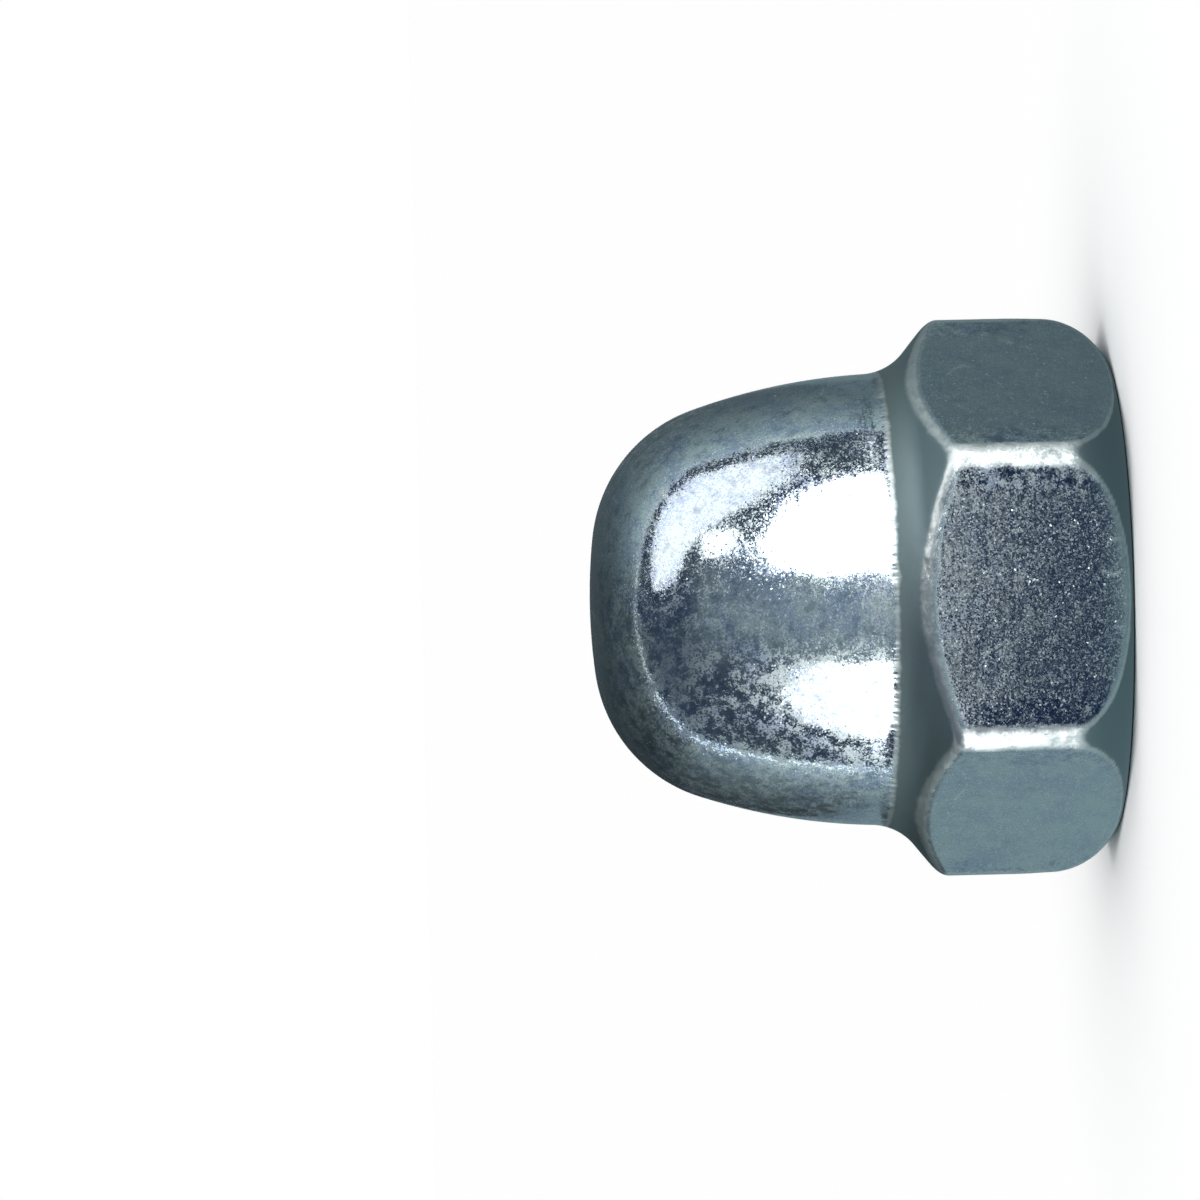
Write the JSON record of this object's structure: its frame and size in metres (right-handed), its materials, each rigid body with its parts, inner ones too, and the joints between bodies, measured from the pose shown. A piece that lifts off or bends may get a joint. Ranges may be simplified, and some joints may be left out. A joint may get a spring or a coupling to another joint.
{
  "type": "cap nut",
  "caption": "High domed cap nut: a rounded hexagon with a sloping shoulder, a smooth dome and a blind threaded bore with a countersunk mouth.",
  "frame": {"origin": "centre of the flat bearing face, on the nut's axis", "axes": "+Z along the nut's axis, from the bearing face to the dome's tip; two flats of the hexagon face -Y and +Y, and two corners point to -X and +X"},
  "size_m": [0.0194, 0.017, 0.018],
  "materials": {
    "zinc_plated_steel": "bright zinc electroplate with a clear blue passivate, over cold-formed steel with fine pits, faint die marks and rub marks"
  },
  "bodies": {
    "root": {"cap_nut": "zinc_plated_steel"}
  },
  "joints": []
}
